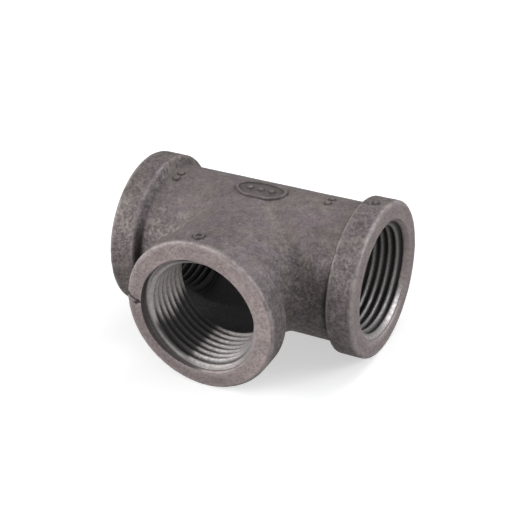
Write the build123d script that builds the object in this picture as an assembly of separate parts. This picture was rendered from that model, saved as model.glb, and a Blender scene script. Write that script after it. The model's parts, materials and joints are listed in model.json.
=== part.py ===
from build123d import *
from build123d.topology.shape_core import SkipClean
from math import radians, tan
import os

# 1-inch female-threaded equal pipe tee: one malleable-iron casting with three tapped sockets.
# Millimetres. The run lies along X, the branch points to -Y and +Z is up.
# The origin is where the centre lines of the run and the branch cross.

# ---- driving dimensions: casting ----
centre_to_end = 38.0
run_barrel_radius = 20.1
branch_barrel_radius = 20.0
band_radius = 22.65
band_width = 7.7
shoulder_length = 1.1
band_rim_radius = 0.9
band_back_radius = 0.7
band_foot_radius = 0.6
crotch_radius = 5.5

# ---- driving dimensions: inside ----
run_chamber_radius = 17.1
branch_chamber_radius = 17.0
thread_end_depth = 17.5
mouth_radius = 17.8

# ---- driving dimensions: thread Rp 1, 11 turns to the inch, right-hand ----
pitch = 25.4 / 11
major_radius = 33.249 / 2
minor_radius = 30.291 / 2
flank_half_angle = 27.5
root_flat = pitch / 6

# ---- driving dimensions: raised cast marks, all plain shapes ----
mark_height = 0.45
mark_root = 1.5
badge_length = 16.0
badge_width = 9.6
badge_line = 1.2
badge_pip_radius = 0.9
badge_pip_spacing = 3.4
pip_radius = 1.0
pip_spacing = 2.8
size_pip_x = 20.4
size_pip_y = 2.0
mould_pip_x = -25.6
mould_pip_y = -2.0
ring_radius = 1.6
ring_line = 0.8
ring_y = -34.2
ring_x = -0.8
band_pip_x = 34.2
band_pip_y = 1.8

# ---- derived ----
band_back_end = centre_to_end - band_width
band_foot_end = band_back_end - shoulder_length
mouth_depth = mouth_radius - minor_radius
chamber_reach = centre_to_end - thread_end_depth - (run_chamber_radius - minor_radius)

# ---- cutting tools reach past the metal by these amounts ----
mouth_overshoot = 2.0
groove_overlap = 0.18
turns_past_end = 1.5

# For each arm: the turn about Z that carries the +X arm onto it, and its chamber's radius.
# The branch is 0.1 mm slimmer than the run inside and out, so that the two meet in one clean curve.
arms = {
    "right": (0, run_chamber_radius),
    "left": (180, run_chamber_radius),
    "branch": (-90, branch_chamber_radius),
}


def arm_blank(barrel_radius):
    """Solid arm along +X: barrel, sloping shoulder and end band, turned about X."""
    rim = (centre_to_end, band_radius)
    back = (band_back_end, band_radius)
    foot = (band_foot_end, barrel_radius)
    section = make_face(
        Polyline((0, 0), (centre_to_end, 0), rim, back, foot, (0, barrel_radius), close=True)
    )
    for corner, radius in ((rim, band_rim_radius), (back, band_back_radius), (foot, band_foot_radius)):
        vertex = section.vertices().sort_by_distance(corner)[0]
        section = fillet(vertex, radius)
    return revolve(section, Axis.X, 360)


def is_crotch(edge):
    """True for the curve where the branch barrel runs into the run barrel."""
    box = edge.bounding_box()
    crosses_both_barrels = box.size.X > branch_barrel_radius and box.size.Z > branch_barrel_radius
    return crosses_both_barrels and box.size.Y > branch_barrel_radius / 2


def outer_blank():
    """Run and branch joined as one solid, with the cast fillet in the crotch between them."""
    run = arm_blank(run_barrel_radius)
    run += arm_blank(run_barrel_radius).rotate(Axis.Z, arms["left"][0])
    branch = arm_blank(branch_barrel_radius).rotate(Axis.Z, arms["branch"][0])
    blank = run + branch
    return fillet(blank.edges().filter_by(is_crotch), crotch_radius)


def raised(outline, axis_rotation, surface_radius):
    """A flat outline seen from above, raised off the top of a barrel or band."""
    bottom = surface_radius - mark_root
    column = extrude(Pos(0, 0, bottom) * outline, mark_root + 2 * mark_height)
    limit = Cylinder(surface_radius + mark_height, 2 * centre_to_end, rotation=axis_rotation)
    return column & limit


def pips(x, y, count, spacing, radius):
    """A row of round pips across the run."""
    first = -(count - 1) / 2 * spacing
    return Sketch() + [Pos(x, y + first + n * spacing) * Circle(radius) for n in range(count)]


def cast_marks():
    """Plain oval badge on the run, pips beside the bands and a ring on the branch band."""
    along_x = (0, 90, 0)
    along_y = (90, 0, 0)
    badge = Ellipse(badge_length / 2, badge_width / 2)
    badge -= Ellipse(badge_length / 2 - badge_line, badge_width / 2 - badge_line)
    badge += [Pos(n * badge_pip_spacing, 0) * Circle(badge_pip_radius) for n in (-1, 0, 1)]
    ring = Circle(ring_radius) - Circle(ring_radius - ring_line)
    size_pips = pips(size_pip_x, size_pip_y, 2, pip_spacing, pip_radius)
    mould_pips = pips(mould_pip_x, mould_pip_y, 2, pip_spacing, pip_radius)
    band_pip = pips(band_pip_x, band_pip_y, 1, pip_spacing, pip_radius)
    return [
        raised(badge, along_x, run_barrel_radius),
        raised(size_pips, along_x, run_barrel_radius),
        raised(mould_pips, along_x, run_barrel_radius),
        raised(band_pip, along_x, band_radius),
        raised(Pos(ring_x, ring_y) * ring, along_y, band_radius),
    ]


def chamber():
    """Cast hollow behind the threads, along the run and out to the branch socket."""
    run_hollow = Cylinder(run_chamber_radius, 2 * chamber_reach, rotation=(0, 90, 0))
    outward = (Align.CENTER, Align.CENTER, Align.MIN)
    branch_hollow = Cylinder(branch_chamber_radius, chamber_reach, rotation=(90, 0, 0), align=outward)
    return run_hollow + branch_hollow


def socket_quarters(chamber_radius):
    """Mouth chamfer, bore at the thread's minor radius and taper into the chamber, in quarters."""
    mouth = centre_to_end
    outside = mouth + mouth_overshoot
    section = make_face(
        Polyline(
            (chamber_reach, 0),
            (outside, 0),
            (outside, mouth_radius + mouth_overshoot),
            (mouth - mouth_depth, minor_radius),
            (mouth - thread_end_depth, minor_radius),
            (chamber_reach, chamber_radius),
            close=True,
        )
    )
    quarter = revolve(section, Axis.X, 90)
    return [quarter.rotate(Axis.X, 90 * n) for n in range(4)]


def thread_turns():
    """The V groove of the thread, one solid for each turn, along +X."""
    inner_radius = minor_radius - groove_overlap
    root_half = root_flat / 2
    inner_half = root_half + (major_radius - inner_radius) * tan(radians(flank_half_angle))
    groove = make_face(
        Polyline(
            (inner_radius, 0, -inner_half),
            (major_radius, 0, -root_half),
            (major_radius, 0, root_half),
            (inner_radius, 0, inner_half),
            close=True,
        )
    )
    turn = sweep(groove, path=Helix(pitch, pitch, inner_radius), is_frenet=True)
    turn = turn.rotate(Axis.Y, 90)
    start = centre_to_end - thread_end_depth - turns_past_end * pitch
    count = round(thread_end_depth / pitch + turns_past_end + 1)
    return [Pos(start + n * pitch, 0, 0) * turn for n in range(count)]


def tee_casting():
    """The whole fitting: outer casting less the chamber and the three tapped sockets."""
    casting = outer_blank()
    for mark in cast_marks():
        casting = casting + mark
    casting = casting - chamber()
    # Faces stay split, so that each thread crest is a row of quarter-turn cylindrical lands.
    with SkipClean():
        for arm_turn, chamber_radius in arms.values():
            for quarter in socket_quarters(chamber_radius):
                casting = casting - quarter.rotate(Axis.Z, arm_turn)
            casting = casting - [turn.rotate(Axis.Z, arm_turn) for turn in thread_turns()]
    return casting.solid()


def main():
    os.makedirs("parts", exist_ok=True)
    casting = tee_casting()
    casting.label = "tee_casting"
    export_step(casting, "parts/tee_casting.step")
    print("tee_casting valid:", casting.is_valid, "volume mm3:", round(casting.volume, 1))


main()
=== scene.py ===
import json
import math

import bmesh
import bpy
import numpy as np
from mathutils import Matrix, Vector


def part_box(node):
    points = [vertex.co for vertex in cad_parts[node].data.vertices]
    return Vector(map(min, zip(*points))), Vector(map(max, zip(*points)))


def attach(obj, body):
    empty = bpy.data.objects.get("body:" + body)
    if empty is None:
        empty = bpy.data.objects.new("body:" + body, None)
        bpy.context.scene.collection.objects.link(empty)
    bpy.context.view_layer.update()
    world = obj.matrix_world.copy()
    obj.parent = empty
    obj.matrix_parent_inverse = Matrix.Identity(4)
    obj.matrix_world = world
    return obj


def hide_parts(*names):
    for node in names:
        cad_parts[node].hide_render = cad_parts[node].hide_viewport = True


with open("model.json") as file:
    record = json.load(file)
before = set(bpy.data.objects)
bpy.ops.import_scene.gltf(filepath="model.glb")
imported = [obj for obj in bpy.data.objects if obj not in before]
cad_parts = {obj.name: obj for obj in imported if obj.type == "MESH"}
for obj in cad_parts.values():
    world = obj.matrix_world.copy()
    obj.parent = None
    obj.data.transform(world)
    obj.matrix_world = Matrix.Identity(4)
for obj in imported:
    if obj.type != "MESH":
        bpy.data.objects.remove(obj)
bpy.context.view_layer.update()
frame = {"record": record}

# The look of a 1-inch malleable-iron pipe tee: one closed mesh of the casting, with real helical threads,
# rounded rims, a sand-cast skin and plain raised marks. Work is in millimetres, and the mesh is scaled to
# metres at the end.
MM = 0.001
NODE = "tee_casting"

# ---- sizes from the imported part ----
MOUNTS = {m["name"]: m for m in frame["record"]["mounts"]}
LOW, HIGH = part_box(NODE)
CENTRE_TO_END = HIGH.x / MM
BAND_RADIUS = -LOW.z / MM
MINOR_RADIUS = MOUNTS["branch_socket"]["dims"]["r_mm"]

# ---- sizes of the casting, in millimetres ----
RUN_RADIUS = 20.1
BRANCH_RADIUS = 20.0
CROTCH_RADIUS = 5.5
BAND_WIDTH = 7.7
SHOULDER_LENGTH = 1.1
FOOT_ROUND = 0.7
BACK_ROUND = 0.8
RIM_ROUND = 0.9
LIP_ROUND = 0.2
MOUTH_RADIUS = 17.5
COUNTERSINK_RADIUS = 17.1
COUNTERSINK_DEPTH = 0.5
CHAMFER_END = 2.2
RUN_CHAMBER = 17.1
BRANCH_CHAMBER = 17.0
CORE_ROUND = 1.5
# The junction's rows of vertices end here along each arm, and its blend ends a little further out.
OUTLINE_START = 26.6
BLEND_REACH = 28.0

# ---- sizes of the thread, in millimetres ----
PITCH = 25.4 / 11
MAJOR_RADIUS = 33.249 / 2
THREAD_END = 17.5
# The corners of crests and roots are softened by these shares of the thread's height.
CREST_SOFTEN = 0.05
ROOT_SOFTEN = 0.07
# The threads run past their end by this much, and the chamber's rows start this far behind the taper.
THREAD_RUNOUT = 0.12
CHAMBER_GAP = 0.25

# ---- places of stains, painted shade and the uneven cast mouth ----
# A dark pool of painted shade lies in the branch socket between these angles from +Z, in degrees.
SHADE_POOL = (195, 240)
# A painted shadow lies on the outer part of the branch's chamfer towards this angle, to this depth.
SHADOW_TOWARDS, SHADOW_REACH = 243, 0.55
# The cast mouth is a little off the tapped thread's centre: by this much, towards this angle from +Z.
MOUTH_SHIFT = {"right": (0.3, 235), "left": (0.3, 40), "branch": (0.6, 228)}
MOUTH_BULGE = 0.7
# The shift fades out over this much of the end face.
SHIFT_FADE = 2.5
# The run's chamfers are dull on the side towards this angle.
DULL_TOWARDS = 308
# Two sizes closer than this are taken as the same.
NEAR = 0.01

# ---- mesh density ----
COLUMNS = 176
JUNCTION_ROWS = 40
CORE_ROWS = 9
ROW_STEP = 0.48
MARK_CUTS = 2

# For each arm: the way out along its axis, and the sideways direction that its columns turn to from +Z.
ARMS = {
    "right": (np.array([1.0, 0, 0]), np.array([0, -1.0, 0])),
    "left": (np.array([-1.0, 0, 0]), np.array([0, -1.0, 0])),
    "branch": (np.array([0, -1.0, 0]), np.array([1.0, 0, 0])),
}
UP = np.array([0, 0, 1.0])
# +1 where an arm's columns turn clockwise as seen from outside its mouth, the way that a right-hand thread
# goes inward.
HAND = {name: 1 if np.cross(-out, UP) @ side > 0 else -1 for name, (out, side) in ARMS.items()}

# Zones that the vertices belong to.
SKIN, BAND, FACE, COUNTERSINK, CHAMFER, THREAD, CORE = range(7)


# ------------------------------------------------------------------ noise

def hash_corner(cell, seed):
    """A repeatable value from -1 to 1 for each whole-number cell."""
    key = cell[:, 0] * 73856093 ^ cell[:, 1] * 19349663 ^ cell[:, 2] * 83492791 ^ seed * 40503
    key = (key ^ (key >> 13)) * 1274126177
    key = key ^ (key >> 16)
    return (key & 0xFFFF) / 32767.5 - 1.0


def smooth_noise(points, size, seed):
    """Smooth value noise from -1 to 1, with features of the given size."""
    scaled = points / size
    cell = np.floor(scaled).astype(np.int64)
    f = scaled - cell
    f = f * f * (3 - 2 * f)
    total = np.zeros(len(points))
    for dx in (0, 1):
        for dy in (0, 1):
            for dz in (0, 1):
                weight = (
                    (f[:, 0] if dx else 1 - f[:, 0])
                    * (f[:, 1] if dy else 1 - f[:, 1])
                    * (f[:, 2] if dz else 1 - f[:, 2])
                )
                total += weight * hash_corner(cell + np.array([dx, dy, dz]), seed)
    return total


def smooth_step(x, low, high):
    """0 below low and 1 above high, with a smooth rise between them."""
    t = np.clip((x - low) / (high - low), 0, 1)
    return t * t * (3 - 2 * t)


# ------------------------------------------------------------------ outline of an arm

def rounded_outline(corners, step):
    """Points along a polyline of (s, r, rounding) corners: arcs at the corners, and no gap over step."""
    points = [np.array(corners[0][:2], float)]
    for before, here, after in zip(corners, corners[1:], corners[2:]):
        a, p, b = (np.array(c[:2], float) for c in (before, here, after))
        into = (a - p) / np.linalg.norm(a - p)
        out = (b - p) / np.linalg.norm(b - p)
        inner = math.acos(np.clip(into @ out, -1, 1))
        reach = here[2] / math.tan(inner / 2)
        start, end = p + into * reach, p + out * reach
        centre = p + (into + out) / np.linalg.norm(into + out) * here[2] / math.sin(inner / 2)
        turns = max(2, math.ceil((math.pi - inner) / math.radians(18)))
        for n in range(turns + 1):
            along = start + (end - start) * n / turns
            spoke = along - centre
            points.append(centre + spoke / np.linalg.norm(spoke) * here[2])
    points.append(np.array(corners[-1][:2], float))
    dense = [points[0]]
    for a, b in zip(points, points[1:]):
        parts = max(1, math.ceil(np.linalg.norm(b - a) / step))
        dense += [a + (b - a) * n / parts for n in range(1, parts + 1)]
    return dense


# ------------------------------------------------------------------ mesh under construction

class Shell:
    """Vertices and faces of the casting while it is put together."""

    def __init__(self):
        self.points = []
        self.zones = []
        self.grooves = []
        self.oil_and_shade_values = []
        self.faces = []

    def add(self, point, zone, groove=0.0, oil_and_shade=0.0):
        """Adds a vertex and returns its number."""
        self.points.append(point)
        self.zones.append(zone)
        self.grooves.append(groove)
        self.oil_and_shade_values.append(oil_and_shade)
        return len(self.points) - 1

    def face(self, corners):
        """Adds a face, unless doubled corners leave fewer than three."""
        kept = []
        for c in corners:
            if c not in kept:
                kept.append(c)
        if len(kept) > 2:
            self.faces.append(kept)

    def bridge(self, ring, following):
        """Quads between two closed rings of vertices."""
        for j in range(COLUMNS):
            k = (j + 1) % COLUMNS
            self.face((ring[j], ring[k], following[k], following[j]))


def spoke(arm, angle):
    """Direction away from an arm's axis at a column's angle."""
    return ARMS[arm][1] * math.sin(angle) + UP * math.cos(angle)


def arm_ring(shell, arm, s, r, zone):
    """One closed ring of vertices at s along an arm's axis and r away from it."""
    out = ARMS[arm][0]
    # Zones that take the oil film and the painted shade.
    oiled_or_shaded = zone in (FACE, COUNTERSINK, CHAMFER)
    ring = []
    for j in range(COLUMNS):
        angle = 2 * math.pi * j / COLUMNS
        oil_and_shade = oil_film_and_shade(arm, CENTRE_TO_END - s, j / COLUMNS) if oiled_or_shaded else 0.0
        radius = r + mouth_shift(arm, s, r, angle)
        ring.append(shell.add(out * s + spoke(arm, angle) * radius, zone, 0.0, oil_and_shade))
    return ring


def mouth_shift(arm, s, r, angle):
    """How far the cast mouth's edge and the face beside it are pushed off centre."""
    if s < CENTRE_TO_END - COUNTERSINK_DEPTH + NEAR or r > MOUTH_RADIUS + SHIFT_FADE:
        return 0.0
    amount, towards = MOUTH_SHIFT[arm]
    if arm == "branch":
        amount += MOUTH_BULGE * max(0.0, math.cos(angle - math.radians(SHADOW_TOWARDS))) ** 4
    face_share = 1 - max(0.0, r - MOUTH_RADIUS) / SHIFT_FADE
    wall_share = 1 - (CENTRE_TO_END - s) / COUNTERSINK_DEPTH
    return amount * math.cos(angle - math.radians(towards)) * face_share * wall_share


def junction(shell, radius, zone):
    """The curves where the three arms meet, as one ring of shared vertices for each arm."""
    half = COLUMNS // 2
    shared = {}

    def vertex(key, point):
        if key not in shared:
            shared[key] = shell.add(point, zone)
        return shared[key]

    rings = {}
    for arm, (out, side) in ARMS.items():
        ring = []
        for j in range(COLUMNS):
            angle = 2 * math.pi * j / COLUMNS
            across = abs(math.sin(angle)) * radius
            flat = spoke(arm, angle) * radius
            if j % half == 0:
                key = ("pole", j)
            elif arm == "branch":
                key = ("right", j) if j < half else ("left", COLUMNS - j)
            else:
                key = (arm, j) if j < half else ("back", j)
            on_mitre = arm == "branch" or j < half
            ring.append(vertex(key, flat + out * across if on_mitre else flat))
        rings[arm] = ring
    return rings


def sleeve(shell, arm, ring, radius, end, rows, zone):
    """Rows of quads from a junction ring along a barrel to a flat ring at end. Returns the flat ring."""
    out = ARMS[arm][0]
    starts = [shell.points[v] @ out for v in ring]
    last = ring
    for row in range(1, rows + 1):
        share = row / rows
        following = []
        for j in range(COLUMNS):
            s = starts[j] + (end - starts[j]) * share
            angle = 2 * math.pi * j / COLUMNS
            following.append(shell.add(out * s + spoke(arm, angle) * radius, zone))
        shell.bridge(last, following)
        last = following
    return last


# ------------------------------------------------------------------ threaded socket

# One pitch of the thread as (part of the pitch from the groove's centre, height above the crest, 0 to 1).
ROOT_HALF = 1 / 12
CREST_HALF = 1 / 12
THREAD_ROWS = [
    (0.0, 1.0),
    (ROOT_HALF, 1.0 - ROOT_SOFTEN),
    (0.25, 0.5),
    (0.5 - CREST_HALF, CREST_SOFTEN),
    (0.5, 0.0),
    (0.5 + CREST_HALF, CREST_SOFTEN),
    (0.75, 0.5),
    (1 - ROOT_HALF, 1.0 - ROOT_SOFTEN),
]


def socket_radius(depth, height):
    """Radius of the socket's wall: the widest of the thread, the mouth chamfer and the taper behind."""
    thread = MINOR_RADIUS + (MAJOR_RADIUS - MINOR_RADIUS) * height
    slope = (COUNTERSINK_RADIUS - MINOR_RADIUS) / (CHAMFER_END - COUNTERSINK_DEPTH)
    chamfer = COUNTERSINK_RADIUS - (depth - COUNTERSINK_DEPTH) * slope
    taper = MINOR_RADIUS + (depth - THREAD_END)
    return max(thread, chamfer, taper)


def oil_film_and_shade(arm, depth, share):
    """How dark the cut metal is at a depth and share of a turn, from 0 to 1: a cutting-oil film, with a
    pool of painted shade in the branch socket and a painted shadow on the outer part of its chamfer.
    """
    past_chamfer = float(smooth_step(depth, CHAMFER_END - 1.6, CHAMFER_END - 0.6))
    if arm == "left":
        return 0.95 * past_chamfer
    if arm == "right":
        return max(0.3, 0.62 * past_chamfer)
    start, end = SHADE_POOL
    end += 1.2 * abs(depth - 8)
    turned = 360 * share
    # A pool of painted shade on the branch socket's wall.
    pooled_shade = smooth_step(turned, start - 5, start + 5) * (1 - smooth_step(turned, end - 8, end + 10))
    film = 0.66 - 0.24 * past_chamfer
    film *= 1 - smooth_step(turned, start, start + 20)
    film *= smooth_step(turned, 90, 130)
    # A painted shadow on the outer part of the branch's chamfer.
    towards = max(0.0, math.cos(math.radians(turned - SHADOW_TOWARDS)))
    reach = 0.5 + SHADOW_REACH * towards**2
    painted_shadow = (1 - smooth_step(depth, reach - 0.35, reach + 0.2)) * smooth_step(towards, 0.2, 0.5)
    return float(max(pooled_shade * past_chamfer, film, painted_shadow))


def groove_dirt_and_shade(arm, height, share):
    """How dark the thread's groove is, from dirt and painted shade: on the branch's left side, where light
    falls, it is painted lighter.
    """
    if arm != "branch":
        return height
    turned = 360 * share
    return height * float(1 - 0.6 * smooth_step(turned, 245, 272) * (1 - smooth_step(turned, 320, 350)))


def threaded_wall(shell, arm, ring, start, end_ring, end):
    """Fills the wall between two rings at depths start and end with rows that follow the helix."""
    out = ARMS[arm][0]
    hand = HAND[arm]
    per_turn = len(THREAD_ROWS)
    first = math.floor((start - THREAD_END) / PITCH) - 2
    last = math.ceil((end - THREAD_END) / PITCH) + 2
    snap = PITCH * ROOT_HALF * 0.3
    rows = []
    for turn in range(first, last):
        for part, height in THREAD_ROWS:
            row = []
            for j in range(COLUMNS):
                share = j / COLUMNS
                depth = THREAD_END + (turn + part + hand * share) * PITCH
                if depth < start + snap:
                    row.append(ring[j])
                elif depth > end - snap:
                    row.append(end_ring[j])
                else:
                    radius = socket_radius(depth, height)
                    on_thread = radius <= MINOR_RADIUS + (MAJOR_RADIUS - MINOR_RADIUS) * height + 1e-6
                    point = out * (CENTRE_TO_END - depth) + spoke(arm, 2 * math.pi * share) * radius
                    zone = THREAD if on_thread else CHAMFER
                    shade_and_darkening = groove_dirt_and_shade(arm, height, share) if on_thread else 0.0
                    row.append(shell.add(point, zone, shade_and_darkening, oil_film_and_shade(arm, depth, share)))
            rows.append(row)
    for i in range(len(rows) - 1):
        for j in range(COLUMNS - 1):
            shell.face((rows[i][j], rows[i][j + 1], rows[i + 1][j + 1], rows[i + 1][j]))
        # The last column meets the first one a whole turn further on.
        here, there = i, i + hand * per_turn
        if 0 <= there < len(rows) - 1:
            shell.face((rows[here][-1], rows[there][0], rows[there + 1][0], rows[here + 1][-1]))


# ------------------------------------------------------------------ whole casting

def outer_outline(barrel):
    """From the barrel over the shoulder, band, rim and end face to the mouth, as (s, r) points."""
    back = CENTRE_TO_END - BAND_WIDTH
    corners = [
        (OUTLINE_START, barrel, 0),
        (back - SHOULDER_LENGTH, barrel, FOOT_ROUND),
        (back, BAND_RADIUS, BACK_ROUND),
        (CENTRE_TO_END, BAND_RADIUS, RIM_ROUND),
        (CENTRE_TO_END, MOUTH_RADIUS, LIP_ROUND),
        (CENTRE_TO_END - COUNTERSINK_DEPTH, COUNTERSINK_RADIUS, 0),
    ]
    return rounded_outline(corners, ROW_STEP)


def zone_of(s, r, barrel):
    """The zone that a point of the outer outline belongs to."""
    if s > CENTRE_TO_END - 2 * NEAR:
        return FACE if r < BAND_RADIUS - RIM_ROUND * 0.5 else BAND
    if r < MOUTH_RADIUS + NEAR:
        return CHAMFER if s < CENTRE_TO_END - COUNTERSINK_DEPTH + NEAR else COUNTERSINK
    return BAND if r > barrel + NEAR else SKIN


def build_shell():
    """The whole casting as plain vertices and faces, before the blend and the relief."""
    shell = Shell()
    outer = junction(shell, RUN_RADIUS, SKIN)
    core = junction(shell, RUN_CHAMBER, CORE)
    taper_end = THREAD_END + RUN_CHAMBER - MINOR_RADIUS
    for arm in ARMS:
        barrel = BRANCH_RADIUS if arm == "branch" else RUN_RADIUS
        chamber = BRANCH_CHAMBER if arm == "branch" else RUN_CHAMBER
        outline = outer_outline(barrel)
        last = sleeve(shell, arm, outer[arm], barrel, outline[0][0], JUNCTION_ROWS, SKIN)
        for s, r in outline[1:]:
            following = arm_ring(shell, arm, s, r, zone_of(s, r, barrel))
            shell.bridge(last, following)
            last = following
        start = CENTRE_TO_END - outline[-1][0]
        end = THREAD_END + (MAJOR_RADIUS - MINOR_RADIUS) + THREAD_RUNOUT
        inner = arm_ring(shell, arm, CENTRE_TO_END - end, MINOR_RADIUS + end - THREAD_END, CORE)
        threaded_wall(shell, arm, last, start, inner, end)
        mouth = arm_ring(shell, arm, CENTRE_TO_END - taper_end, chamber, CORE)
        shell.bridge(inner, mouth)
        # The chamber's sleeve is made from the junction outwards and ends on the taper's ring.
        chamber_start = CENTRE_TO_END - taper_end - CHAMBER_GAP
        flat = sleeve(shell, arm, core[arm], chamber, chamber_start, CORE_ROWS, CORE)
        shell.bridge(mouth, flat)
    return shell


# ------------------------------------------------------------------ blend of run and branch

def joined_distance(p, run_radius, branch_radius, fillet):
    """About the distance outside the two crossed cylinders, with a rolling fillet where they meet."""
    to_run = np.hypot(p[:, 1], p[:, 2])
    to_branch = np.hypot(p[:, 0], p[:, 2])
    a = to_run - run_radius
    b = to_branch - branch_radius
    cosine = p[:, 2] ** 2 / np.maximum(to_run * to_branch, 1e-9)
    width = 4 * fillet * (1 - np.sqrt((1 + np.clip(cosine, -1, 1)) / 2)) + 1e-6
    overlap = np.maximum(width - np.abs(a - b), 0) / width
    both = np.minimum(a, b) - overlap**2 * width / 4
    return np.where(p[:, 1] < 0, both, a)


def settle_on_surface(p, run_radius, branch_radius, fillet):
    """Moves points along the slope of the distance until they lie on the joined surface."""
    nudge = 1e-3
    for _ in range(8):
        d = joined_distance(p, run_radius, branch_radius, fillet)
        slope = np.empty_like(p)
        for axis in range(3):
            q = p.copy()
            q[:, axis] += nudge
            slope[:, axis] = (joined_distance(q, run_radius, branch_radius, fillet) - d) / nudge
        p = p - slope * (d / np.maximum((slope**2).sum(1), 0.2))[:, None]
    return p


# ------------------------------------------------------------------ raised marks

BADGE_LENGTH, BADGE_WIDTH, BADGE_LINE = 16.0, 9.6, 1.2
BADGE_PIP, BADGE_SPACING = 0.9, 3.4
PIP_RADIUS, PIP_SPACING = 1.0, 2.8
SIZE_PIPS = (20.4, 2.0)
MOULD_PIPS = (-25.6, -2.0)
BAND_PIP = (34.2, 1.8)
BAND_RING = (-0.8, -34.2)
RING_RADIUS, RING_LINE = 1.6, 0.8
MARK_HEIGHT = 0.55
MARK_SLOPE = 0.28
# The finer mesh reaches this far round each mark.
MARK_MARGIN = 0.8


def plateau(distance, half_width, slope):
    """1 inside half_width of a line or point, falling softly to 0 outside it."""
    return 1 - smooth_step(distance, half_width - slope / 2, half_width + slope)


def mark_field(p, grow, slope):
    """1 on the raised marks of the upper side, grown by some millimetres, falling to 0 round them."""
    x, y = p[:, 0], p[:, 1]
    a, b = (BADGE_LENGTH - BADGE_LINE) / 2, (BADGE_WIDTH - BADGE_LINE) / 2
    oval = np.sqrt((x / a) ** 2 + (y / b) ** 2)
    steep = np.sqrt((x / a**2) ** 2 + (y / b**2) ** 2) / np.maximum(oval, 1e-6)
    field = plateau(np.abs(oval - 1) / np.maximum(steep, 1e-6), BADGE_LINE / 2 + grow, slope)
    discs = [(n * BADGE_SPACING, 0, BADGE_PIP) for n in (-1, 0, 1)]
    for cx, cy in (SIZE_PIPS, MOULD_PIPS):
        discs += [(cx, cy + n * PIP_SPACING, PIP_RADIUS) for n in (-0.5, 0.5)]
    discs.append((*BAND_PIP, PIP_RADIUS))
    for cx, cy, radius in discs:
        field = np.maximum(field, plateau(np.hypot(x - cx, y - cy), radius + grow, slope))
    from_ring = np.abs(np.hypot(x - BAND_RING[0], y - BAND_RING[1]) - RING_RADIUS + RING_LINE / 2)
    field = np.maximum(field, plateau(from_ring, RING_LINE / 2 + grow, slope))
    return field * (p[:, 2] > 0)


def dark_round_marks(p):
    """1 round the foot of a raised mark and partly inside the badge, and little on its top: the colour is
    darker there.
    """
    around = mark_field(p, 0.15, 0.3)
    top = mark_field(p, -0.15, 0.25)
    inside = (p[:, 0] / BADGE_LENGTH) ** 2 + (p[:, 1] / BADGE_WIDTH) ** 2 < 0.25
    return np.clip(np.maximum(around, 0.35 * inside * (p[:, 2] > 0)) - 0.85 * top, 0, 1)


# A casting flaw runs across the branch face at the parting plane: its bends as (x, z), and its half width.
FLAW = ((-18.5, -0.5), (-20.5, 0.35), (-22.5, 1.6))
FLAW_PITS = ((-22.2, 1.5, 0.75), (-19.2, -0.3, 0.6), (-19.9, -0.9, 0.3))
FLAW_WIDTH = 0.28
FLAW_DEPTH = 0.3
# The finer mesh reaches this far from the flaw's middle bend, in x and z.
FLAW_REACH = (2.8, 2.2)


def flaw_field(p):
    """1 in the middle of the flaw in the branch face, falling to 0 at its sides."""
    flat = p[:, (0, 2)]
    nearest = np.full(len(p), 1e9)
    for a, b in zip(FLAW, FLAW[1:]):
        a, b = np.array(a), np.array(b)
        share = np.clip((flat - a) @ (b - a) / ((b - a) @ (b - a)), 0, 1)
        nearest = np.minimum(nearest, np.linalg.norm(flat - a - share[:, None] * (b - a), axis=1))
    for x, z, radius in FLAW_PITS:
        nearest = np.minimum(nearest, np.maximum(0, np.hypot(flat[:, 0] - x, flat[:, 1] - z) - radius / 2))
    return (1 - smooth_step(nearest, 0.1, 2 * FLAW_WIDTH)) * (p[:, 1] < -CENTRE_TO_END + 3)


def foot_shade(p):
    """1 in the corner between a barrel and the shoulder of its end band, where painted shade lies, stronger
    towards the bottom.
    """
    along = np.abs(p[:, :2]).max(1)
    across = np.sqrt((p**2).sum(1) - along**2)
    foot = CENTRE_TO_END - BAND_WIDTH - SHOULDER_LENGTH
    low = 0.35 + 0.65 * smooth_step(-p[:, 2], -14, -2)
    return np.exp(-(((along - foot) / 1.2) ** 2)) * (across < BAND_RADIUS - 0.8) * 0.8 * low


def countersink_shade(p, zones):
    """1 in the cast edge of the branch's mouth, on the side where it is wider than the cut metal: painted
    shade.
    """
    angle = np.degrees(np.arctan2(p[:, 0], p[:, 2])) - SHADOW_TOWARDS
    near = smooth_step(np.cos(np.radians(angle)), 0.3, 0.7)
    return 0.9 * near * (zones == COUNTERSINK) * (p[:, 1] < -30)


def dull_chamfer(p, zones):
    """1 on the upper part of the run's chamfers, which has the end face's dull colour."""
    angle = np.arctan2(-p[:, 1], p[:, 2]) - math.radians(DULL_TOWARDS)
    return smooth_step(np.cos(angle), 0.05, 0.5) * (zones == CHAMFER) * (np.abs(p[:, 0]) > 30)


def near_marks(p):
    """True for points close enough to a mark or to the flaw to need a finer mesh."""
    x, y, z = p
    by_flaw = abs(x - FLAW[1][0]) < FLAW_REACH[0] and abs(z - FLAW[1][1]) < FLAW_REACH[1]
    if y < -CENTRE_TO_END + 1.2 and by_flaw:
        return True
    pip = PIP_RADIUS + MARK_MARGIN
    ring = RING_RADIUS + MARK_MARGIN
    boxes = (
        (0, 0, BADGE_LENGTH / 2 + MARK_MARGIN, BADGE_WIDTH / 2 + MARK_MARGIN),
        (*SIZE_PIPS, pip, pip + PIP_SPACING / 2),
        (*MOULD_PIPS, pip, pip + PIP_SPACING / 2),
        (*BAND_PIP, pip, pip),
        (*BAND_RING, ring, ring),
    )
    return z > 0 and any(abs(x - cx) < wx and abs(y - cy) < wy for cx, cy, wx, wy in boxes)


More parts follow.
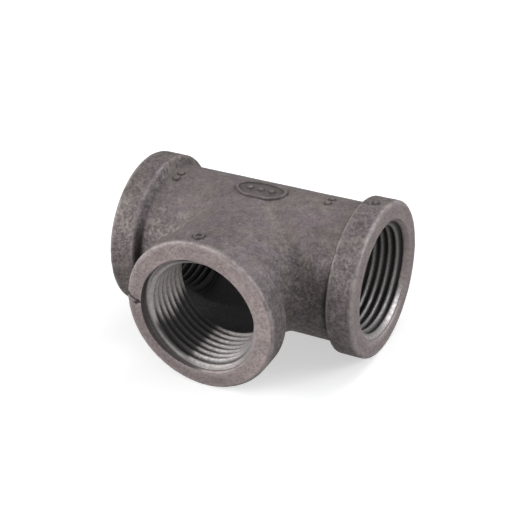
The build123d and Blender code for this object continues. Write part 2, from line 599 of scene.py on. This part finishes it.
def refine_marks(bm, zone_layer):
    """Splits the quads under the marks and the flaw so that the relief has vertices enough."""
    raised_zones = (SKIN, BAND, FACE)
    chosen = {v for v in bm.verts if round(v[zone_layer]) in raised_zones and near_marks(v.co)}
    edges = [e for e in bm.edges if e.verts[0] in chosen and e.verts[1] in chosen]
    bmesh.ops.subdivide_edges(bm, edges=edges, cuts=MARK_CUTS, use_grid_fill=True)


# ------------------------------------------------------------------ skin

def skin_relief(p, zones):
    """The sand-cast skin: fine grain, soft hollows and low pits, in millimetres, nearly all inwards."""
    grain = smooth_noise(p, 0.75, 3) * 0.6 + smooth_noise(p, 1.5, 5) * 0.4
    swell = smooth_noise(p, 7.0, 7)
    pits = smooth_step(smooth_noise(p, 1.3, 11), 0.62, 0.9)
    cast = grain * 0.035 + swell * 0.05 - pits * 0.09 - 0.07
    face = smooth_noise(p, 0.9, 13) * 0.012 - 0.012
    relief = np.where(zones == FACE, face, 0.0)
    relief = np.where(zones == SKIN, cast, relief)
    relief = np.where(zones == BAND, cast, relief)
    return np.where(zones == CORE, grain * 0.06 + swell * 0.05 - 0.02, relief)


def parting_ridge(p, zones):
    """The faint raised line that the two halves of the mould leave at mid height."""
    at_middle = np.abs(p[:, 2]) < 0.05
    broken = 0.5 + 0.5 * smooth_noise(p, 5.0, 17)
    outside = (zones == SKIN) | (zones == BAND)
    return np.where(at_middle & outside, 0.09 * broken, 0.0)


def vertex_normals(mesh):
    """The mesh's vertex normals, one row for each vertex."""
    normals = np.empty(len(mesh.vertices) * 3, np.float32)
    mesh.vertex_normals.foreach_get("vector", normals)
    return normals.reshape(-1, 3).astype(float)


def edge_highlight(points):
    """1 on the bands' rims and back edges and on the mouths' lower lips: a painted highlight, partly rubbed
    wear, on the lips mostly at the bottom.
    """
    along = np.abs(points[:, :2]).max(1)
    across = np.sqrt((points**2).sum(1) - along**2)
    back_end = CENTRE_TO_END - BAND_WIDTH
    back = np.exp(-(((across - BAND_RADIUS + 0.15) / 0.4) ** 2 + ((along - back_end - 0.15) / 0.45) ** 2))
    rim = np.exp(-(((across - BAND_RADIUS + 0.3) / 0.8) ** 2 + ((along - CENTRE_TO_END + 0.2) / 0.7) ** 2))
    lip = np.exp(-(((across - MOUTH_RADIUS - 0.4) / 0.9) ** 2 + ((along - CENTRE_TO_END) / 0.6) ** 2))
    lip *= 0.2 + smooth_step(-points[:, 2], 12, 17)
    back *= np.where(np.abs(points[:, 0]) > 25, 1.0, 0.4)
    return np.clip(rim + 0.8 * lip + 0.45 * back, 0, 1)


def skin_wear_and_light(points, zones):
    """How far the skin is rubbed smooth and made pale, most on top and on the branch face's right side:
    partly wear, partly painted light.
    """
    x, y, z = points.T
    on_top = smooth_step(z, 8, 18) * ((zones == SKIN) | (y < -28))
    branch_face = np.minimum(1, 0.2 + 0.4 * smooth_step(z, -18, 18) + 0.6 * smooth_step(x, 5, 18))
    face = np.where(y < -CENTRE_TO_END + 1, branch_face, 0.24)
    return np.where(np.isin(zones, (FACE, COUNTERSINK, CHAMFER)), face, on_top)


def make_casting():
    """The visible piece: the shell with its blend, relief, marks and the fields that the material reads."""
    shell = build_shell()
    bm = bmesh.new()
    zone_layer = bm.verts.layers.float.new("zone")
    groove_layer = bm.verts.layers.float.new("groove")
    oil_and_shade_layer = bm.verts.layers.float.new("oil_and_shade")
    verts = []
    for point, zone, groove, oil_and_shade in zip(shell.points, shell.zones, shell.grooves, shell.oil_and_shade_values):
        v = bm.verts.new(point)
        v[zone_layer] = zone
        v[groove_layer] = groove
        v[oil_and_shade_layer] = oil_and_shade
        verts.append(v)
    for corners in shell.faces:
        bm.faces.new([verts[c] for c in corners])
    refine_marks(bm, zone_layer)
    bmesh.ops.recalc_face_normals(bm, faces=bm.faces)
    mesh = bpy.data.meshes.new("cast_tee")
    bm.to_mesh(mesh)
    bm.free()

    count = len(mesh.vertices)
    flat = np.empty(count * 3, np.float32)
    mesh.vertices.foreach_get("co", flat)
    points = flat.reshape(-1, 3).astype(float)
    zones = np.empty(count, np.float32)
    mesh.attributes["zone"].data.foreach_get("value", zones)
    zones = np.round(zones)

    for zone, radii in ((SKIN, (RUN_RADIUS, BRANCH_RADIUS, CROTCH_RADIUS)),
                        (CORE, (RUN_CHAMBER, BRANCH_CHAMBER, CORE_ROUND))):
        chamber_end = CENTRE_TO_END - THREAD_END - (RUN_CHAMBER - MINOR_RADIUS)
        limit = BLEND_REACH if zone == SKIN else chamber_end - 0.2
        chosen = (zones == zone) & (np.abs(points[:, 0]) < limit) & (points[:, 1] > -limit)
        points[chosen] = settle_on_surface(points[chosen], *radii)
    mesh.vertices.foreach_set("co", points.astype(np.float32).ravel())
    mesh.update()

    relief = skin_relief(points, zones) + parting_ridge(points, zones)
    outside = (zones == SKIN) | (zones == BAND)
    relief -= FLAW_DEPTH * flaw_field(points)
    relief += np.where(outside, mark_field(points, 0, MARK_SLOPE), 0) * MARK_HEIGHT
    points = points + vertex_normals(mesh) * relief[:, None]
    fields = {
        "cut": np.isin(zones, (CHAMFER, THREAD)) - dull_chamfer(points, zones),
        "face": np.isin(zones, (FACE, COUNTERSINK)) + dull_chamfer(points, zones),
        "core": zones == CORE,
        "edge_wear_and_highlight": edge_highlight(points),
        "shade_and_darkening": (dark_round_marks(points) + foot_shade(points)) * outside + countersink_shade(points, zones),
        "flaw": flaw_field(points),
        "wear_and_light": skin_wear_and_light(points, zones),
    }
    for name, values in fields.items():
        mesh.attributes.new(name, "FLOAT", "POINT").data.foreach_set("value", values.astype(np.float32))
    mesh.vertices.foreach_set("co", (points * MM).astype(np.float32).ravel())
    mesh.update()
    mesh.validate()
    for polygon in mesh.polygons:
        polygon.use_smooth = True
    casting = bpy.data.objects.new("cast_tee", mesh)
    bpy.context.scene.collection.objects.link(casting)
    return casting


# ------------------------------------------------------------------ materials

class Graph:
    """Short calls for building a material's nodes."""

    def __init__(self, name):
        self.material = bpy.data.materials.new(name)
        self.material.use_nodes = True
        self.tree = self.material.node_tree
        self.surface = self.tree.nodes["Principled BSDF"]
        self.place = self.tree.nodes.new("ShaderNodeTexCoord").outputs["Object"]

    def set(self, socket, value):
        """Links a socket to another one, or gives it a plain value."""
        if isinstance(value, bpy.types.NodeSocket):
            self.tree.links.new(value, socket)
        else:
            socket.default_value = value

    def field(self, name):
        """One of the mesh's own fields."""
        made = self.tree.nodes.new("ShaderNodeAttribute")
        made.attribute_name = name
        return made.outputs["Fac"]

    def noise(self, size_mm, detail=2.0, rough=0.55):
        """Cloudy noise with features of the given size."""
        made = self.tree.nodes.new("ShaderNodeTexNoise")
        self.tree.links.new(self.place, made.inputs["Vector"])
        made.inputs["Scale"].default_value = 1 / (size_mm * MM)
        made.inputs["Detail"].default_value = detail
        made.inputs["Roughness"].default_value = rough
        return made.outputs["Fac"]

    def speckle(self, size_mm):
        """Sand grains of the given size, each with its own brightness."""
        made = self.tree.nodes.new("ShaderNodeTexVoronoi")
        self.tree.links.new(self.place, made.inputs["Vector"])
        made.inputs["Scale"].default_value = 1 / (size_mm * MM)
        return self.math("MULTIPLY", made.outputs["Color"], 1.0)

    def math(self, kind, a, b=0.0):
        """One sum or product of two values."""
        made = self.tree.nodes.new("ShaderNodeMath")
        made.operation = kind
        self.set(made.inputs[0], a)
        self.set(made.inputs[1], b)
        return made.outputs[0]

    def spread(self, value, low, high, to_low=0.0, to_high=1.0):
        """Carries the range low to high onto to_low to to_high, with a smooth rise."""
        made = self.tree.nodes.new("ShaderNodeMapRange")
        made.interpolation_type = "SMOOTHSTEP"
        self.set(made.inputs["Value"], value)
        ends = (("From Min", low), ("From Max", high), ("To Min", to_low), ("To Max", to_high))
        for name, number in ends:
            made.inputs[name].default_value = number
        return made.outputs["Result"]

    def blend(self, factor, a, b):
        """Colour a where the factor is 0 and colour b where it is 1."""
        made = self.tree.nodes.new("ShaderNodeMix")
        made.data_type = "RGBA"
        self.set(made.inputs["Factor"], factor)
        self.set(made.inputs["A"], a)
        self.set(made.inputs["B"], b)
        return made.outputs["Result"]

    def bump(self, height, depth_mm, below=None):
        """Relief from a height, on top of the relief below it."""
        made = self.tree.nodes.new("ShaderNodeBump")
        made.inputs["Distance"].default_value = depth_mm * MM
        self.set(made.inputs["Height"], height)
        if below is not None:
            self.set(made.inputs["Normal"], below)
        return made.outputs["Normal"]


def grey(level, red=1.0, green=1.0, blue=1.0):
    """A grey of the given level, tinted by the three shares."""
    return (level * red, level * green, level * blue, 1)


def iron_material():
    """Oxide skin over the whole casting, with bare cut metal in the sockets, from the mesh's own fields."""
    g = Graph("black_iron")
    cut, groove, face = g.field("cut"), g.field("groove"), g.field("face")
    edge_wear_and_highlight, shade_and_darkening, core = g.field("edge_wear_and_highlight"), g.field("shade_and_darkening"), g.field("core")

    # Skin colour: purple-grey and brown patches, under fine light and dark sand grain.
    patches = g.spread(g.noise(8.0, 3.0), 0.35, 0.65)
    skin = g.blend(patches, grey(0.22, 1.0, 0.825, 0.88), grey(0.235, 1.0, 0.86, 0.79))
    skin = g.blend(g.spread(g.noise(14.0, 1.0), 0.35, 0.68, 0.0, 0.3), skin, grey(0.12, 1.0, 0.83, 0.85))
    grain = g.math("ADD", g.noise(0.9, 2.0, 0.6), g.spread(g.speckle(0.55), 0, 1, -0.14, 0.14))
    coarse = g.noise(2.8, 3.0, 0.7)
    wear_and_light = g.field("wear_and_light")
    # Dark grain is weaker where the skin is worn and on top: partly wear, partly painted light.
    dark_grain = g.math("MULTIPLY", g.spread(grain, 0.62, 0.30), g.spread(wear_and_light, 0.0, 1.0, 0.52, 0.26))
    skin = g.blend(dark_grain, skin, grey(0.035, 1.0, 0.86, 0.80))
    skin = g.blend(g.spread(grain, 0.55, 0.78, 0.0, 0.25), skin, grey(0.34, 1.0, 0.88, 0.83))
    skin = g.blend(g.spread(coarse, 0.5, 0.75, 0.0, 0.55), skin, grey(0.33, 1.0, 0.88, 0.83))
    # Dark mottle, also weaker where worn and on top: partly wear, partly painted light.
    mottle = g.math("MULTIPLY", g.spread(coarse, 0.5, 0.3), g.spread(wear_and_light, 0.0, 1.0, 0.5, 0.3))
    skin = g.blend(mottle, skin, grey(0.06, 1.0, 0.84, 0.82))
    skin = g.blend(g.spread(g.noise(1.5, 1.0), 0.68, 0.78, 0.0, 0.5), skin, grey(0.05))

    # End faces: paler and a little pink, with painted light making the branch face lighter towards its
    # right and top. Rims, back edges and lower lips: a painted highlight, partly rubbed wear.
    pale = g.blend(g.spread(grain, 0.32, 0.62), grey(0.38, 1.0, 0.81, 0.79), grey(0.54, 1.0, 0.83, 0.81))
    pale = g.blend(g.spread(wear_and_light, 0.0, 1.0, 0.52, 0.0), pale, grey(0.12, 1.0, 0.8, 0.78))
    pale = g.blend(g.spread(g.noise(4.0, 2.0), 0.35, 0.7, 0.0, 0.3), pale, grey(0.17, 1.0, 0.84, 0.84))
    skin = g.blend(face, skin, pale)
    # Painted highlight, partly rubbed wear, on the rims, back edges and lower lips.
    rubbed_and_highlight = g.math("MULTIPLY", edge_wear_and_highlight, g.spread(coarse, 0.3, 0.65, 0.35, 0.8))
    skin = g.blend(rubbed_and_highlight, skin, grey(0.52, 1.0, 0.87, 0.86))
    # Painted shade in the band feet and the branch mouth's cast edge, and darker colour round the raised
    # marks.
    skin = g.blend(g.spread(shade_and_darkening, 0.05, 0.8, 0.0, 0.9), skin, grey(0.03, 1.0, 0.85, 0.8))
    skin = g.blend(g.math("MULTIPLY", g.field("flaw"), 0.9), skin, grey(0.01))
    # The chamber inside is painted nearly black: painted shade.
    skin = g.blend(g.math("MULTIPLY", core, 0.93), skin, grey(0.045))

    # Cut metal, darker in the bottom of the thread grooves from dirt and painted shade, and darker under
    # the oil film and the branch socket's painted shade.
    metal = g.blend(g.spread(grain, 0.3, 0.7), grey(0.60, 1.0, 0.91, 0.89), grey(0.74, 1.0, 0.93, 0.92))
    metal = g.blend(g.spread(groove, 0.1, 0.8), metal, grey(0.075))
    oil_and_shade = g.field("oil_and_shade")
    # Darker under the oil film and where painted shade lies in the branch socket.
    metal = g.blend(g.math("MULTIPLY", oil_and_shade, 0.94), metal, grey(0.035))
    bare = g.math("MULTIPLY", cut, g.spread(oil_and_shade, 0.0, 1.0, 1.0, 0.25))
    g.set(g.surface.inputs["Base Color"], g.blend(cut, skin, metal))

    g.set(g.surface.inputs["Metallic"], g.spread(bare, 0.0, 1.0, 0.25, 0.55))
    rough = g.spread(grain, 0.3, 0.7, 0.6, 0.48)
    polish = g.math("MULTIPLY", bare, 0.12)
    g.set(g.surface.inputs["Roughness"], g.math("SUBTRACT", rough, polish))

    # Sand grain as relief, left out on the cut metal.
    cast = g.math("SUBTRACT", 1.0, g.math("MULTIPLY", cut, 0.93))
    normal = g.bump(g.math("MULTIPLY", coarse, cast), 0.30)
    normal = g.bump(g.math("MULTIPLY", grain, cast), 0.22, normal)
    g.set(g.surface.inputs["Normal"], normal)
    return g.material


# ------------------------------------------------------------------ camera and light

AZIMUTH, ELEVATION, ROLL = 28.57, 30.49, 2.04
CAMERA_DISTANCE = 435.4
LENS_MM = 106.7
SENSOR_MM = 36
SIDE_OFFSET, HEIGHT_OFFSET = -2.42, -1.0
# Metres from the origin to each light.
LIGHT_DISTANCE = 0.8


def add_camera():
    """A camera that looks down on the tee from the right of the branch."""
    az, el, roll = (math.radians(v) for v in (AZIMUTH, ELEVATION, ROLL))
    back = Vector((math.sin(az) * math.cos(el), -math.cos(az) * math.cos(el), math.sin(el)))
    right = Vector((math.cos(az), math.sin(az), 0))
    up = back.cross(right)
    rolled_right = right * math.cos(roll) - up * math.sin(roll)
    rolled_up = right * math.sin(roll) + up * math.cos(roll)
    place = rolled_right * SIDE_OFFSET + rolled_up * HEIGHT_OFFSET + back * CAMERA_DISTANCE
    matrix = Matrix((rolled_right, rolled_up, back)).transposed().to_4x4()
    matrix.translation = place * MM
    data = bpy.data.cameras.new("camera")
    data.lens = LENS_MM
    data.sensor_width = SENSOR_MM
    data.clip_start = 0.01
    camera = bpy.data.objects.new("camera", data)
    camera.matrix_world = matrix
    bpy.context.scene.collection.objects.link(camera)
    bpy.context.scene.camera = camera


def add_softbox(name, azimuth, elevation, size, watts, tint=(1, 1, 1)):
    """A square soft light that faces the tee. Azimuth 0 is before the branch, 90 off the right socket."""
    az, el = math.radians(azimuth), math.radians(elevation)
    out = Vector((math.sin(az) * math.cos(el), -math.cos(az) * math.cos(el), math.sin(el)))
    data = bpy.data.lights.new(name, "AREA")
    data.shape = "SQUARE"
    data.size = size
    data.energy = watts
    data.color = tint
    light = bpy.data.objects.new(name, data)
    light.location = out * LIGHT_DISTANCE
    light.rotation_euler = (-out).to_track_quat("-Z", "Y").to_euler()
    bpy.context.scene.collection.objects.link(light)


# The floor sweeps up into a wall all round, and shines a little so that it stays pale far from the lights.
FLOOR_RADIUS, SWEEP_RADIUS, WALL_HEIGHT = 1.6, 0.8, 2.5
FLOOR_INNER_RADIUS = 0.4
FLOOR_SIDES, SWEEP_STEPS = 96, 12
NEAR_GLOW, FAR_GLOW = 0.5, 0.78
GLOW_START, GLOW_END = 0.2, 1.2
WORLD_STRENGTH = 0.31


def add_floor():
    """A round pale floor that curves up into a wall."""
    profile = [(FLOOR_INNER_RADIUS, 0.0), (FLOOR_RADIUS, 0.0)]
    for n in range(1, SWEEP_STEPS + 1):
        turn = math.pi / 2 * n / SWEEP_STEPS
        profile.append((FLOOR_RADIUS + SWEEP_RADIUS * math.sin(turn), SWEEP_RADIUS * (1 - math.cos(turn))))
    profile.append((FLOOR_RADIUS + SWEEP_RADIUS, WALL_HEIGHT))
    verts, faces = [(0, 0, LOW.z)], []
    for radius, height in profile:
        for n in range(FLOOR_SIDES):
            turn = 2 * math.pi * n / FLOOR_SIDES
            verts.append((radius * math.cos(turn), radius * math.sin(turn), LOW.z + height))
    for n in range(FLOOR_SIDES):
        m = (n + 1) % FLOOR_SIDES
        faces.append((0, 1 + n, 1 + m))
        for ring in range(len(profile) - 1):
            low, high = 1 + ring * FLOOR_SIDES, 1 + (ring + 1) * FLOOR_SIDES
            faces.append((low + n, high + n, high + m, low + m))
    mesh = bpy.data.meshes.new("floor")
    mesh.from_pydata(verts, [], faces)
    for polygon in mesh.polygons:
        polygon.use_smooth = True

    g = Graph("pale_floor")
    g.surface.inputs["Base Color"].default_value = grey(0.75)
    g.surface.inputs["Roughness"].default_value = 0.9
    g.surface.inputs["Specular IOR Level"].default_value = 0
    g.surface.inputs["Emission Color"].default_value = grey(1.0)
    away = g.tree.nodes.new("ShaderNodeVectorMath")
    away.operation = "LENGTH"
    g.set(away.inputs[0], g.place)
    glow = g.spread(away.outputs["Value"], GLOW_START, GLOW_END, NEAR_GLOW, FAR_GLOW)
    g.set(g.surface.inputs["Emission Strength"], glow)
    mesh.materials.append(g.material)
    floor = bpy.data.objects.new("floor", mesh)
    bpy.context.scene.collection.objects.link(floor)
    # The floor shows and takes shadows, but throws no light up on the casting.
    floor.visible_diffuse = False
    floor.visible_glossy = False


def add_studio():
    """Six soft lights round the tee, in a dim white world."""
    world = bpy.data.worlds.new("studio")
    world.use_nodes = True
    world.node_tree.nodes["Background"].inputs["Color"].default_value = (1, 1, 1, 1)
    world.node_tree.nodes["Background"].inputs["Strength"].default_value = WORLD_STRENGTH
    bpy.context.scene.world = world
    add_softbox("key", -35, 35, 0.40, 1.5)
    add_softbox("key_low", -35, 15, 0.35, 1.6)
    add_softbox("left", -75, 20, 0.40, 2.2)
    add_softbox("right", 106, 25, 0.35, 2.6, (0.97, 1, 1.05))
    add_softbox("front_right", 55, 12, 0.35, 0.7)
    add_softbox("back", 160, 60, 0.40, 1.7)
    bpy.context.scene.view_settings.view_transform = "Standard"


add_camera()
casting = make_casting()
casting.data.materials.append(iron_material())
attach(casting, "root")
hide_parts(NODE)
add_floor()
add_studio()
